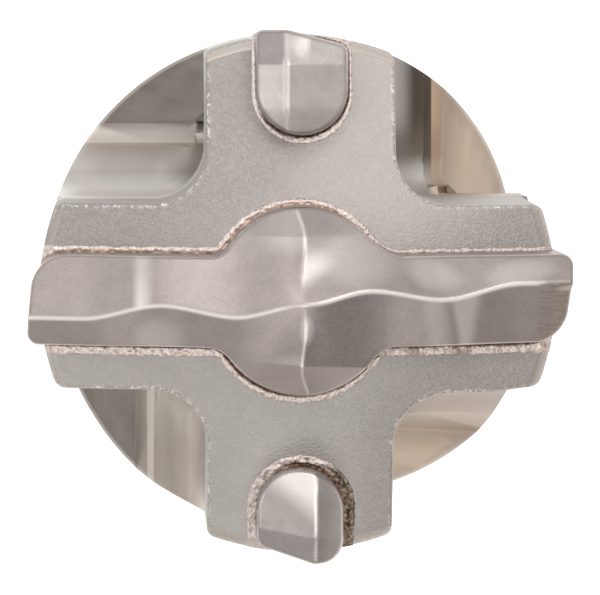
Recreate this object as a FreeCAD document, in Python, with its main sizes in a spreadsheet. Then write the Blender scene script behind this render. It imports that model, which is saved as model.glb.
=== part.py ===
# A rotary-hammer drill bit, 25 mm, for masonry, with a brazed four-edge carbide head and an 18 mm slotted shank.
# Millimetres. The axis is Z, the tip is up, and the striking face of the shank lies on z = 0.
# Seen from above, +X is the right-hand wing of the long carbide plate and +Y the upper side pin.

import FreeCAD, Part
import math
import os

import Sketcher

doc = FreeCAD.newDocument("drill_bit")
sheet = doc.addObject("Spreadsheet::Sheet", "Sizes")

# Driving sizes: millimetres, and degrees where the name ends in angle

SIZES = {
    # Whole bit
    "overall_length": 320,
    "cutting_diameter": 25.7,
    "body_relief": 0.25,
    "head_relief": 0.5,
    # Shank, from the striking face up
    "shank_diameter": 18,
    "shank_length": 100,
    "shank_chamfer": 1.2,
    "neck_diameter": 16.8,
    "neck_length": 12,
    "neck_step": 2,
    "taper_length": 12,
    # Grooves of the shank
    "drive_groove_width": 5,
    "drive_groove_depth": 2.7,
    "drive_groove_length": 48,
    "drive_groove_runout": 8,
    "drive_groove_angle": 32,
    "lock_groove_radius": 4,
    "lock_groove_depth": 2.8,
    "lock_groove_start": 19.5,
    "lock_groove_length": 27,
    # Steel head: a cross of four arms
    "face_drop": 3.8,
    "face_angle": 15,
    "arm_width": 8.8,
    "arm_corner_radius": 2.6,
    "arm_end_chamfer": 0.45,
    "gap_depth": 15.2,
    "shelf_reach": 7.5,
    "shelf_bevel_width": 0.6,
    "shelf_bevel_angle": 30,
    "cove_radius": 2.4,
    # Spiral of four flutes
    "flute_count": 4,
    "flute_lead": 80,
    "flute_root_flat": 1.1,
    "flute_overlap": 0.4,
    # Long carbide plate with its round boss
    "plate_thickness": 4.2,
    "plate_height": 15,
    "boss_diameter": 9.2,
    "boss_blend_radius": 1,
    "plate_end_relief": 0.35,
    "plate_lead_radius": 0.6,
    "plate_trail_radius": 1.5,
    "plate_end_chamfer": 0.6,
    # Wavy crest of the plate and the cross ridge of the boss
    "crest_fall_angle": 17,
    "crest_lead_angle": 31,
    "crest_trail_angle": 27,
    "crest_stations": 12,
    "apex_roundness": 0.8,
    "wave_out_at": 3.1,
    "wave_out": 0.58,
    "wave_dip_at": 6.5,
    "wave_dip": 0.11,
    "wave_end_at": 10.2,
    "wave_end": 0.78,
    "cross_drop": 0.08,
    "cross_fall_angle": 20,
    "cross_flank_angle": 24,
    "cross_swing": 0.1,
    "cross_end_swing": 0.62,
    "boss_break_at": 3.05,
    "boss_break_angle": 38,
    # Side pins
    "pin_width": 4.5,
    "pin_center_inset": 2.95,
    "pin_end_inset": 0.25,
    "pin_end_relief": 0.9,
    "pin_lead_radius": 0.5,
    "pin_trail_radius": 0.8,
    "pin_height": 10,
    "pin_drop": 4.1,
    "pin_ridge_offset": 0.62,
    "pin_lead_angle": 38,
    "pin_trail_angle": 24,
    "pin_outer_break_inset": 1.55,
    "pin_outer_angle": 28,
    "pin_inner_break_inset": 3.75,
    "pin_inner_angle": 30,
    # Braze joints
    "braze_near": 0.2,
    "braze_far": 0.5,
    "braze_pin": 0.28,
    "braze_floor": 0.15,
}

for row, (alias, size) in enumerate(SIZES.items(), start=1):
    sheet.set("A%d" % row, alias)
    sheet.set("B%d" % row, str(size))
    sheet.setAlias("B%d" % row, alias)
doc.recompute()


def size(expression):
    """The number that an expression of the sheet's sizes gives."""
    found = sheet.evalExpression(expression)
    return getattr(found, "Value", found)


def plane(body, role):
    """One of the three origin planes of a body, such as XY_Plane."""
    return next(o for o in body.Origin.OriginFeatures if o.Role == role)


def new_body(name):
    return doc.addObject("PartDesign::Body", name)


def new_sketch(body, name, role, height=None):
    """A sketch on an origin plane of a body, lifted by height along the plane's normal."""
    sketch = body.newObject("Sketcher::SketchObject", name)
    sketch.AttachmentSupport = [(plane(body, role), "")]
    sketch.MapMode = "FlatFace"
    if height:
        sketch.setExpression("AttachmentOffset.Base.z", height)
    return sketch


def place(sketch, line, end, axis, expression):
    """Ties one coordinate of a line's end to an expression of the sizes."""
    kind = "Distance" + axis
    number = sketch.addConstraint(Sketcher.Constraint(kind, -1, 1, line, end, size(expression)))
    sketch.setExpression("Constraints[%d]" % number, expression)


def polygon(sketch, corners):
    """A closed outline of straight lines through corners, given as pairs of expressions."""
    points = [FreeCAD.Vector(size(x), size(y), 0) for x, y in corners]
    first = sketch.GeometryCount
    count = len(points)
    for i, point in enumerate(points):
        sketch.addGeometry(Part.LineSegment(point, points[(i + 1) % count]), False)
    for i in range(count):
        after = first + (i + 1) % count
        sketch.addConstraint(Sketcher.Constraint("Coincident", first + i, 2, after, 1))
    for i, (x, y) in enumerate(corners):
        place(sketch, first + i, 1, "X", x)
        place(sketch, first + i, 1, "Y", y)


def round_corner(sketch, line, radius):
    """Rounds the corner where a line of a sketch starts."""
    arc = sketch.GeometryCount
    sketch.fillet(line, 1, size(radius), True, True)
    rule = sketch.addConstraint(Sketcher.Constraint("Radius", arc, size(radius)))
    sketch.setExpression("Constraints[%d]" % rule, radius)


def circle(sketch, x, y, radius):
    """A circle whose centre and radius are expressions of the sizes."""
    center = FreeCAD.Vector(size(x), size(y), 0)
    number = sketch.addGeometry(Part.Circle(center, FreeCAD.Vector(0, 0, 1), size(radius)), False)
    place(sketch, number, 3, "X", x)
    place(sketch, number, 3, "Y", y)
    rule = sketch.addConstraint(Sketcher.Constraint("Radius", number, size(radius)))
    sketch.setExpression("Constraints[%d]" % rule, radius)


def feature(body, kind, name, sketch, **expressions):
    """A feature of a body made from a sketch, with its sizes tied by expressions."""
    made = body.newObject("PartDesign::" + kind, name)
    made.Profile = (sketch, [""])
    for property_name, expression in expressions.items():
        made.setExpression(property_name, expression)
    return made


def around_axis(body, name, originals, count):
    """Repeats features around the Z axis of a body."""
    pattern = body.newObject("PartDesign::PolarPattern", name)
    pattern.Originals = originals
    axis = next(o for o in body.Origin.OriginFeatures if o.Role == "Z_Axis")
    pattern.Axis = (axis, [""])
    pattern.Angle = 360
    pattern.setExpression("Occurrences", count)
    body.Tip = pattern
    return pattern


def turned(sketch, angle):
    """Turns a sketch on the XZ plane about the Z axis by an expression in degrees."""
    upright = FreeCAD.Rotation(FreeCAD.Vector(0, 1, 0), 1)
    sketch.AttachmentOffset = FreeCAD.Placement(FreeCAD.Vector(0, 0, 0), upright)
    sketch.setExpression("AttachmentOffset.Rotation.Angle", angle)


def rounded(body, name, base, radius, wanted):
    """Rounds the edges of a body's last feature for which wanted(edge) is true."""
    doc.recompute()
    names = ["Edge%d" % i for i, edge in enumerate(base.Shape.Edges, start=1) if wanted(edge)]
    fillet = body.newObject("PartDesign::Fillet", name)
    fillet.Base = (base, names)
    fillet.setExpression("Radius", radius)
    doc.recompute()
    return fillet


def upright_at(edge, x, y):
    """Whether an edge stands upright over the point x, y."""
    near = FreeCAD.Vector(x, y, 0)
    ends = [FreeCAD.Vector(v.X, v.Y, 0) for v in edge.Vertexes]
    return len(ends) == 2 and all(end.distanceToPoint(near) < 0.01 for end in ends)


# Radii and levels that several pieces share

CUTTING_RADIUS = "Sizes.cutting_diameter / 2"
BODY_RADIUS = "(Sizes.cutting_diameter / 2 - Sizes.body_relief)"
HEAD_RADIUS = "(Sizes.cutting_diameter / 2 - Sizes.head_relief)"
SHANK_RADIUS = "Sizes.shank_diameter / 2"
NECK_RADIUS = "Sizes.neck_diameter / 2"
HALF_ARM = "Sizes.arm_width / 2"
HALF_PLATE = "Sizes.plate_thickness / 2"
FACE_LEVEL = "(Sizes.overall_length - Sizes.face_drop)"
SHELF_LEVEL = "(Sizes.overall_length - Sizes.face_drop - Sizes.gap_depth)"
PLATE_FOOT = "(Sizes.overall_length - Sizes.plate_height)"
PIN_RIDGE = "(Sizes.overall_length - Sizes.pin_drop)"
FLUTE_FOOT = "(Sizes.shank_length + Sizes.neck_length)"
CLEAR = "(Sizes.cutting_diameter / 2 + 2)"
PIN_CENTER = "(Sizes.cutting_diameter / 2 - Sizes.pin_center_inset)"
PIN_END = "(Sizes.cutting_diameter / 2 - Sizes.pin_end_inset)"


def turned_blank(body):
    """The steel blank as it leaves the lathe: shank, neck, body and the shallow cone of the head."""
    face_radius = "(%s - Sizes.arm_end_chamfer)" % HEAD_RADIUS
    rim = FACE_LEVEL + " - " + face_radius + " * tan(Sizes.face_angle)"
    neck_top = "Sizes.shank_length + Sizes.neck_length"
    sketch = new_sketch(body, "turned_profile", "XZ_Plane")
    polygon(sketch, [
        ("0", "0"),
        (SHANK_RADIUS + " - Sizes.shank_chamfer", "0"),
        (SHANK_RADIUS, "Sizes.shank_chamfer"),
        (SHANK_RADIUS, "Sizes.shank_length"),
        (NECK_RADIUS, "Sizes.shank_length + Sizes.neck_step"),
        (NECK_RADIUS, neck_top),
        (BODY_RADIUS, neck_top + " + Sizes.taper_length"),
        (BODY_RADIUS, SHELF_LEVEL),
        (HEAD_RADIUS, rim + " - Sizes.arm_end_chamfer"),
        (face_radius, rim),
        ("0", FACE_LEVEL),
    ])
    blank = feature(body, "Revolution", "turned_steel", sketch)
    blank.ReferenceAxis = (sketch, ["V_Axis"])
    blank.Angle = 360


def gap_pocket(body, name, near_x, far_x):
    """Mills one straight part of the four gaps between the arms, from the shelf up."""
    sketch = new_sketch(body, name + "_outline", "XY_Plane", SHELF_LEVEL)
    polygon(sketch, [
        (near_x, HALF_ARM),
        (far_x, HALF_ARM),
        (far_x, CLEAR),
        (near_x, CLEAR),
    ])
    pocket = feature(body, "Pocket", name, sketch, Length="Sizes.gap_depth + 1")
    pocket.Reversed = True
    return around_axis(body, name + "_round", [pocket], "Sizes.flute_count")


def head_gaps(body):
    """The gaps of the head: behind each arm a coved shelf, and beside it the mouth of a flute."""
    half_arm = size(HALF_ARM)
    shelf_level = size(SHELF_LEVEL)
    reach = size("Sizes.shelf_reach")
    shelves = gap_pocket(body, "shelf", HALF_ARM, "Sizes.shelf_reach")
    corners = [(half_arm * sx, half_arm * sy) for sx in (1, -1) for sy in (1, -1)]

    def at_inner_corner(edge):
        return any(upright_at(edge, x, y) for x, y in corners)

    inner = rounded(body, "arm_corners", shelves, "Sizes.arm_corner_radius", at_inner_corner)

    def along_arm_foot(edge):
        box = edge.BoundBox
        middle = edge.CenterOfMass
        across = min(abs(middle.x), abs(middle.y))
        return box.ZLength < 0.01 and abs(box.ZMin - shelf_level) < 0.01 and (
            abs(across - half_arm) < 0.01 and math.hypot(middle.x, middle.y) > reach)

    rounded(body, "shelf_coves", inner, "Sizes.cove_radius", along_arm_foot)
    gap_pocket(body, "flute_mouth", "Sizes.shelf_reach", CLEAR)

    bevel = new_sketch(body, "shelf_bevel_profile", "XZ_Plane", "-" + CLEAR)
    low_side = "%s - 2 * Sizes.shelf_bevel_width * tan(Sizes.shelf_bevel_angle)" % SHELF_LEVEL
    polygon(bevel, [
        ("Sizes.shelf_reach - Sizes.shelf_bevel_width", SHELF_LEVEL),
        ("Sizes.shelf_reach + Sizes.shelf_bevel_width", low_side),
        ("Sizes.shelf_reach + Sizes.shelf_bevel_width", SHELF_LEVEL + " + 1"),
        ("Sizes.shelf_reach - Sizes.shelf_bevel_width", SHELF_LEVEL + " + 1"),
    ])
    length = "%s - %s" % (CLEAR, HALF_ARM)
    milled = feature(body, "Pocket", "shelf_bevel", bevel, Length=length)
    milled.Reversed = True
    around_axis(body, "shelf_bevel_round", [milled], "Sizes.flute_count")


def flute_cutter(number):
    """One flute as a solid to cut away: its cross-section swept along a right-hand helix."""
    start = FLUTE_FOOT
    lift = "(%s + Sizes.flute_overlap - %s)" % (SHELF_LEVEL, start)
    step = "%d * 360 deg / Sizes.flute_count" % number
    turn = step + " - 360 deg * (%s - %s) / Sizes.flute_lead" % (SHELF_LEVEL, start)
    name = "flute_%d" % (number + 1)

    outline = doc.addObject("Sketcher::SketchObject", name + "_outline")
    polygon(outline, [
        ("Sizes.shelf_reach", HALF_ARM + " + Sizes.flute_root_flat"),
        ("Sizes.shelf_reach + Sizes.flute_root_flat", HALF_ARM),
        (CLEAR, HALF_ARM),
        ("Sizes.shelf_reach", CLEAR),
    ])

    helix = doc.addObject("Part::Helix", name + "_path")
    helix.setExpression("Pitch", "Sizes.flute_lead")
    helix.setExpression("Height", lift)
    helix.setExpression("Radius", "Sizes.shelf_reach")
    for tool in (outline, helix):
        tool.setExpression("Placement.Base.z", start)
        tool.setExpression("Placement.Rotation.Angle", turn)
    doc.recompute()

    cutter = doc.addObject("Part::Sweep", name + "_cutter")
    cutter.Sections = [outline]
    cutter.Spine = (helix, ["Edge%d" % (i + 1) for i in range(len(helix.Shape.Edges))])
    cutter.Solid = True
    cutter.Frenet = True
    return cutter


def drive_groove(body, name, angle):
    """An open groove that the chuck drives, milled from the striking face and running out upward."""
    floor = SHANK_RADIUS + " - Sizes.drive_groove_depth"
    clear = SHANK_RADIUS + " + Sizes.drive_groove_depth"
    straight = "Sizes.drive_groove_length - Sizes.drive_groove_runout"
    sketch = new_sketch(body, name + "_profile", "XZ_Plane")
    polygon(sketch, [
        (floor, "-1"),
        (clear, "-1"),
        (clear, straight + " + 2 * Sizes.drive_groove_runout"),
        (floor, straight),
    ])
    turned(sketch, angle)
    groove = feature(body, "Pocket", name, sketch, Length="Sizes.drive_groove_width")
    groove.Midplane = True


def steel_blank():
    """The whole steel piece before its seats are cut."""
    body = new_body("steel_blank")
    turned_blank(body)
    head_gaps(body)
    drive_groove(body, "drive_groove_back", "90")
    drive_groove(body, "drive_groove_left", "270 - Sizes.drive_groove_angle")
    drive_groove(body, "drive_groove_right", "270 + Sizes.drive_groove_angle")
    return body


def lock_groove(name, side):
    """A closed groove with round ends, as three solids to cut away from one side of the shank."""
    center = "%d * (%s - Sizes.lock_groove_depth + Sizes.lock_groove_radius)" % (side, SHANK_RADIUS)
    low = "Sizes.lock_groove_start + Sizes.lock_groove_radius"
    straight = "(Sizes.lock_groove_length - 2 * Sizes.lock_groove_radius)"
    middle = doc.addObject("Part::Cylinder", name + "_middle")
    middle.setExpression("Height", straight)
    lower = doc.addObject("Part::Sphere", name + "_lower_end")
    upper = doc.addObject("Part::Sphere", name + "_upper_end")
    tools = [middle, lower, upper]
    for tool, height in zip(tools, (low, low, low + " + " + straight)):
        tool.setExpression("Radius", "Sizes.lock_groove_radius")
        tool.setExpression("Placement.Base.x", center)
        tool.setExpression("Placement.Base.z", height)
    return tools


def boss_and_wings(body, foot, height, near, far):
    """Pads the plan of the carbide plate, with its faces moved out by near on +Y and by far on -Y."""
    upper = "(%s + %s)" % (HALF_PLATE, near)
    lower = "(%s + %s)" % (HALF_PLATE, far)
    wings = new_sketch(body, "wing_outline", "XY_Plane", foot)
    polygon(wings, [
        (CUTTING_RADIUS + " - Sizes.plate_end_relief", "-" + lower),
        (CUTTING_RADIUS, upper),
        ("-%s + Sizes.plate_end_relief" % CUTTING_RADIUS, upper),
        ("-" + CUTTING_RADIUS, "-" + lower),
    ])
    feature(body, "Pad", "wings", wings, Length=height)

    boss = new_sketch(body, "boss_outline", "XY_Plane", foot)
    middle = "(%s - %s) / 2" % (near, far)
    growth = "(%s + %s) / 2" % (near, far)
    radius = "(Sizes.boss_diameter / 2 + %s)" % growth
    circle(boss, "0", middle, radius)
    joined = feature(body, "Pad", "boss", boss, Length=height)

    across = size(upper)
    center = size(middle)
    along = math.sqrt(size(radius) ** 2 - (across - center) ** 2)
    corners = [(sx * along, center + sy * (across - center)) for sx in (1, -1) for sy in (1, -1)]

    def at_boss_corner(edge):
        return any(upright_at(edge, x, y) for x, y in corners)

    return rounded(body, "boss_blends", joined, "Sizes.boss_blend_radius - " + growth, at_boss_corner)


def roof_section(points, along, upright):
    """A closed wire through points given as (distance across, height), at one station."""
    corners = [upright(across, height, along) for across, height in points]
    return Part.makePolygon(corners + corners[:1])


def wave_at(along, knots):
    """The swing of the crest at a distance from the apex, eased from knot to knot."""
    for (start, low), (end, high) in zip(knots, knots[1:]):
        if along <= end:
            share = (along - start) / (end - start)
            return low + (high - low) * (1 - math.cos(math.pi * share)) / 2
    return knots[-1][1]


def crest_roof():
    """The wavy roof over both wings: its crest runs along X and swings to and fro in plan."""
    top = size("Sizes.overall_length")
    foot = size(PLATE_FOOT) - 1
    fall = math.tan(math.radians(size("Sizes.crest_fall_angle")))
    lead = math.tan(math.radians(size("Sizes.crest_lead_angle")))
    trail = math.tan(math.radians(size("Sizes.crest_trail_angle")))
    outer = math.tan(math.radians(size("Sizes.boss_break_angle")))
    roundness = size("Sizes.apex_roundness")
    break_at = size("Sizes.boss_break_at")
    width = size("Sizes.boss_diameter / 2 + 1")
    end = size("Sizes.cutting_diameter / 2 + 1")
    half_count = int(size("Sizes.crest_stations"))
    knots = [(0.0, 0.0)]
    knots += [(size("Sizes.%s_at" % knot), size("Sizes.%s" % knot)) for knot in ("wave_out", "wave_dip", "wave_end")]

    def upright(across, height, along):
        return FreeCAD.Vector(along, across, height)

    sections = []
    for number in range(-half_count, half_count + 1):
        along = end * number / half_count
        swing = math.copysign(wave_at(abs(along), knots), along)
        turn_over = math.tanh(along / roundness)
        slope_up = (lead + trail) / 2 + (lead - trail) / 2 * turn_over
        slope_down = (lead + trail) / 2 - (lead - trail) / 2 * turn_over
        crest = top - fall * (math.hypot(along, roundness) - roundness)
        break_up = crest - slope_up * (break_at - swing)
        break_down = crest - slope_down * (break_at + swing)
        beyond = outer * (width - break_at)
        sections.append(roof_section([
            (-width, foot),
            (-width, break_down - beyond),
            (-break_at, break_down),
            (swing, crest),
            (break_at, break_up),
            (width, break_up - beyond),
            (width, foot),
        ], along, upright))
    roof = doc.addObject("Part::Feature", "crest_roof")
    roof.Shape = Part.makeLoft(sections, True, False)
    return roof


def cross_roof():
    """The roof over the boss: its ridge runs along Y, bends a little and gets steeper near the rim."""
    top = size("Sizes.overall_length - Sizes.cross_drop")
    foot = size(PLATE_FOOT) - 1
    fall = math.tan(math.radians(size("Sizes.cross_fall_angle")))
    flank = math.tan(math.radians(size("Sizes.cross_flank_angle")))
    outer = math.tan(math.radians(size("Sizes.boss_break_angle")))
    break_at = size("Sizes.boss_break_at")
    end = size("Sizes.boss_diameter / 2 + 1")
    width = size("Sizes.cutting_diameter / 2 + 1")
    swing = size("Sizes.cross_swing")
    end_swing = size("Sizes.cross_end_swing")
    at_break = top - fall * break_at
    at_end = at_break - outer * (end - break_at)
    stations = [
        (-end, end_swing, at_end),
        (-break_at, swing, at_break),
        (0.0, 0.0, top),
        (break_at, -swing, at_break),
        (end, -end_swing, at_end),
    ]

    def upright(across, height, along):
        return FreeCAD.Vector(across, along, height)

    sections = [roof_section([
        (-width, foot),
        (-width, ridge - flank * (width + aside)),
        (aside, ridge),
        (width, ridge - flank * (width - aside)),
        (width, foot),
    ], along, upright) for along, aside, ridge in stations]
    roof = doc.addObject("Part::Feature", "cross_roof")
    roof.Shape = Part.makeLoft(sections, True, True)
    return roof


def end_gauge():
    """The turned envelope that trims the ends of the plate to the cutting circle."""
    fall = "(%s - Sizes.apex_roundness) * tan(Sizes.crest_fall_angle)" % CUTTING_RADIUS
    crest_end = "Sizes.overall_length - " + fall
    shoulder = crest_end + " - Sizes.plate_end_chamfer"
    body = new_body("end_gauge")
    sketch = new_sketch(body, "gauge_profile", "XZ_Plane")
    polygon(sketch, [
        ("0", PLATE_FOOT + " - 1"),
        (CUTTING_RADIUS, PLATE_FOOT + " - 1"),
        (CUTTING_RADIUS, shoulder),
        ("0", shoulder + " + " + CUTTING_RADIUS),
    ])
    gauge = feature(body, "Revolution", "turned_gauge", sketch)
    gauge.ReferenceAxis = (sketch, ["V_Axis"])
    gauge.Angle = 360
    return body


def joined_by(kind, name, base, tool):
    """A Part boolean of two objects."""
    made = doc.addObject("Part::" + kind, name)
    made.Base = base
    made.Tool = tool
    return made


def carbide_plate():
    """The long plate with its boss: a plan pad, cut to shape by both roofs and the end gauge."""
    body = new_body("plate_blank")
    blends = boss_and_wings(body, PLATE_FOOT, "Sizes.plate_height + 1", "0", "0")
    reach = size("Sizes.cutting_diameter / 2")
    half = size(HALF_PLATE)
    relieved = reach - size("Sizes.plate_end_relief")

    def at_leading_corner(edge):
        return upright_at(edge, reach, half) or upright_at(edge, -reach, -half)

    def at_trailing_corner(edge):
        return upright_at(edge, relieved, -half) or upright_at(edge, -relieved, half)

    leading = rounded(body, "leading_corners", blends, "Sizes.plate_lead_radius", at_leading_corner)
    rounded(body, "trailing_corners", leading, "Sizes.plate_trail_radius", at_trailing_corner)
    roofs = joined_by("Fuse", "both_roofs", crest_roof(), cross_roof())
    shaped = joined_by("Common", "roofed_plate", body, roofs)
    return joined_by("Common", "carbide_plate", shaped, end_gauge())


def pin_outline(body, foot, height, gap, relief):
    """Pads the plan of a side pin: a round inner end and a straight part out to the rim."""
    half = "(Sizes.pin_width / 2 + %s)" % gap
    inner = new_sketch(body, "inner_end_outline", "XY_Plane", foot)
    circle(inner, "0", PIN_CENTER, half)
    feature(body, "Pad", "inner_end", inner, Length=height)
    outer = new_sketch(body, "straight_outline", "XY_Plane", foot)
    polygon(outer, [
        (half, PIN_CENTER),
        (half, PIN_END + " - " + relief),
        ("-" + half, PIN_END),
        ("-" + half, PIN_CENTER),
    ])
    return outer


def mill_slope(body, name, role, start, side, level, angle):
    """Mills away what stands above a slope that falls from start toward one side."""
    width = "Sizes.pin_width"
    far = "%s + %d * 2 * %s" % (start, side, width)
    sketch = new_sketch(body, name + "_profile", role)
    polygon(sketch, [
        (start, level),
        (far, "%s - 2 * %s * tan(%s)" % (level, width, angle)),
        (far, level + " + " + width),
        (start, level + " + " + width),
    ])
    slope = feature(body, "Pocket", name, sketch, Length="Sizes.cutting_diameter * 2")
    slope.Midplane = True


def side_pin(name, turn):
    """A side pin in the arm on +Y, then turned about the axis of the bit."""
    body = new_body(name)
    outer = pin_outline(body, "(%s - Sizes.pin_height)" % PIN_RIDGE, "Sizes.pin_height + 1", "0",
                        "Sizes.pin_end_relief")
    round_corner(outer, 1, "Sizes.pin_trail_radius")
    round_corner(outer, 2, "Sizes.pin_lead_radius")
    feature(body, "Pad", "straight_part", outer, Length="Sizes.pin_height + 1")
    ridge = "-Sizes.pin_ridge_offset"
    mill_slope(body, "leading_flank", "XZ_Plane", ridge, -1, PIN_RIDGE, "Sizes.pin_lead_angle")
    mill_slope(body, "trailing_flank", "XZ_Plane", ridge, 1, PIN_RIDGE, "Sizes.pin_trail_angle")
    inner_break = CUTTING_RADIUS + " - Sizes.pin_inner_break_inset"
    outer_break = CUTTING_RADIUS + " - Sizes.pin_outer_break_inset"
    mill_slope(body, "inner_hip", "YZ_Plane", inner_break, -1, PIN_RIDGE, "Sizes.pin_inner_angle")
    mill_slope(body, "outer_hip", "YZ_Plane", outer_break, 1, PIN_RIDGE, "Sizes.pin_outer_angle")
    body.setExpression("Placement.Rotation.Angle", turn)
    return body


def plate_seat():
    """The slot and the round seat that take the plate, with room for braze on every face."""
    body = new_body("plate_seat")
    foot = "(%s - Sizes.braze_floor)" % PLATE_FOOT
    boss_and_wings(body, foot, "Sizes.plate_height + 1", "Sizes.braze_near", "Sizes.braze_far")
    ends = new_sketch(body, "open_ends_outline", "XY_Plane", foot)
    upper = "(%s + Sizes.braze_near)" % HALF_PLATE
    lower = "-(%s + Sizes.braze_far)" % HALF_PLATE
    polygon(ends, [("-" + CLEAR, lower), (CLEAR, lower), (CLEAR, upper), ("-" + CLEAR, upper)])
    feature(body, "Pad", "open_ends", ends, Length="Sizes.plate_height + 1")
    return body


def pin_seat(name, turn):
    """The seat of a side pin, open at the rim, with room for braze round it."""
    body = new_body(name)
    foot = "(%s - Sizes.pin_height - Sizes.braze_floor)" % PIN_RIDGE
    outer = pin_outline(body, foot, "Sizes.pin_height + 1", "Sizes.braze_pin", "-Sizes.braze_pin")
    feature(body, "Pad", "open_end", outer, Length="Sizes.pin_height + 1")
    body.setExpression("Placement.Rotation.Angle", turn)
    return body


def braze_joint(name, blank, seat, carbide):
    """The braze that fills a seat round its carbide, flush with the steel."""
    filled = joined_by("Common", name + "_filling", blank, seat)
    return joined_by("Cut", name, filled, carbide)


# Build every piece

blank = steel_blank()
plate = carbide_plate()
upper_pin = side_pin("upper_pin", "0 deg")
lower_pin = side_pin("lower_pin", "180 deg")
slot = plate_seat()
upper_seat = pin_seat("upper_seat", "0 deg")
lower_seat = pin_seat("lower_seat", "180 deg")

cutters = [flute_cutter(number) for number in range(int(size("Sizes.flute_count")))]
cutters += lock_groove("lock_groove_left", -1) + lock_groove("lock_groove_right", 1)
cutters += [slot, upper_seat, lower_seat]
removed = doc.addObject("Part::MultiFuse", "removed_steel")
removed.Shapes = cutters
bit_body = joined_by("Cut", "bit_body", blank, removed)

plate_braze = braze_joint("plate_braze", blank, slot, plate)
upper_braze = braze_joint("upper_pin_braze", blank, upper_seat, upper_pin)
lower_braze = braze_joint("lower_pin_braze", blank, lower_seat, lower_pin)
doc.recompute()

# Check the tree, then write one STEP file for each piece

for part in doc.Objects:
    if "Invalid" in part.State or "Error" in part.State:
        raise RuntimeError("%s doesn't build" % part.Name)

os.makedirs("parts", exist_ok=True)
for piece in (bit_body, plate, upper_pin, lower_pin, plate_braze, upper_braze, lower_braze):
    if piece.Shape.isNull() or not piece.Shape.isValid() or len(piece.Shape.Solids) != 1:
        raise RuntimeError("%s isn't one sound solid" % piece.Name)
    piece.Label = piece.Name
    piece.Shape.exportStep("parts/%s.step" % piece.Label)
    print("%s %.1f mm3" % (piece.Label, piece.Shape.Volume))
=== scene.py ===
# %% [markdown]
# # A hammer drill bit, seen from its tip
#
# The bit stands on its shank. The camera looks down on the head: a steel cross that carries one long
# carbide plate and two side pins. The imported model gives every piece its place, so the lesson starts by
# loading it and keeping the box that it fills.

# %% Load the frame
import math

import bmesh
import bpy
from mathutils import Matrix, Vector


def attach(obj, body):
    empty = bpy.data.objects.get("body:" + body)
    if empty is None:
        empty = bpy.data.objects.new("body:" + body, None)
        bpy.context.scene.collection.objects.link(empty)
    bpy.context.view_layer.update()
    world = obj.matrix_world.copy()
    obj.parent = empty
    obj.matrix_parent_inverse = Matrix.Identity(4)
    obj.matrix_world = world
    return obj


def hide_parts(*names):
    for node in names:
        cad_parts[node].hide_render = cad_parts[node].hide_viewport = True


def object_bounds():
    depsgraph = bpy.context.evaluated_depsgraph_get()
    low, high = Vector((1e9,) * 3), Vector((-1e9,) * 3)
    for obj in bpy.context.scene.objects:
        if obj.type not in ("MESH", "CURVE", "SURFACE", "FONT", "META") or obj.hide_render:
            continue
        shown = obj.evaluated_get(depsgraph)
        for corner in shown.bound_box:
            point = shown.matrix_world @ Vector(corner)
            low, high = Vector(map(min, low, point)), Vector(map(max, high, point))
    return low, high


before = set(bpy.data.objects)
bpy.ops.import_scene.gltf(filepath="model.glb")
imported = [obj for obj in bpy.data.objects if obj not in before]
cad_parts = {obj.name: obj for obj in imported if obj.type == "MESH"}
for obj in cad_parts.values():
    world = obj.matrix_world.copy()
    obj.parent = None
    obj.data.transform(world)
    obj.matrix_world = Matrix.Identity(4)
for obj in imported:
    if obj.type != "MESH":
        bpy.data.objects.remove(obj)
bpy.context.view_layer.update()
print("nodes:", ", ".join(sorted(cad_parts)))

# %% [markdown]
# The photograph was taken from close by, a little up and to the left of the bit's axis. A long lens on a
# camera that stands 150 mm above the head gives the same slight lean of the arms' side walls. The frame is
# 600 by 595 pixels, and the axis lies in its middle.

# %% Camera
MM = 0.001
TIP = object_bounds()[1][2]
FOCUS = Vector((0.0, 0.0, TIP - 5.5 * MM))
EYE = FOCUS + Vector((-5.9, 10.6, 150)) * MM

lens = bpy.data.cameras.new("bench_camera")
lens.lens = 191.5
lens.sensor_width = 36
lens.clip_start = 0.01
camera = bpy.data.objects.new("bench_camera", lens)
bpy.context.collection.objects.link(camera)
forward = (FOCUS - EYE).normalized()
right = forward.cross(Vector((0, 1, 0))).normalized()
up = right.cross(forward)
camera.matrix_world = Matrix.Translation(EYE) @ Matrix((right, up, -forward)).transposed().to_4x4()
bpy.context.scene.camera = camera
print("the camera stands %.0f mm from the head" % ((EYE - FOCUS).length / MM))

# %% [markdown]
# Most of what the camera sees is flat ground work with slightly soft edges: the top of the steel cross, the
# carbide plate and the pins. Each one is a plan outline with a roof over it. A signed distance says how far
# a point of the plan lies from the outline: below zero is inside. Distances can be joined and cut, and a
# radius in the join gives the round corners that a cutter leaves. numpy works all points of a grid at once.

# %% Outlines as distances
import numpy as np


def joined(first, second, radius):
    """Either shape, with a hollow corner of that radius where they meet."""
    reach = np.hypot(np.maximum(radius - first, 0), np.maximum(radius - second, 0))
    return np.maximum(radius, np.minimum(first, second)) - reach


def common(first, second, radius):
    """What lies in both shapes, with its outer corners rounded to that radius."""
    reach = np.hypot(np.maximum(radius + first, 0), np.maximum(radius + second, 0))
    return np.minimum(-radius, np.maximum(first, second)) + reach


def softest(first, second, soft):
    """The larger of two heights, blended over a soft valley."""
    share = np.clip(0.5 + 0.5 * (first - second) / soft, 0, 1)
    return second + (first - second) * share + soft * share * (1 - share)


def rounding(depth, radius):
    """How far a rounded rim drops at a depth inside the outline."""
    short = np.clip(radius - depth, 0, radius)
    return radius - np.sqrt(radius ** 2 - short ** 2)


def eased(value, low, high):
    """0 below low, 1 above high and a soft step between, for arrays and for the flows of a material."""
    if hasattr(value, "ramp"):
        return value.ramp(low, high)
    share = np.clip((value - low) / (high - low), 0, 1)
    return share * share * (3 - 2 * share)


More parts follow.
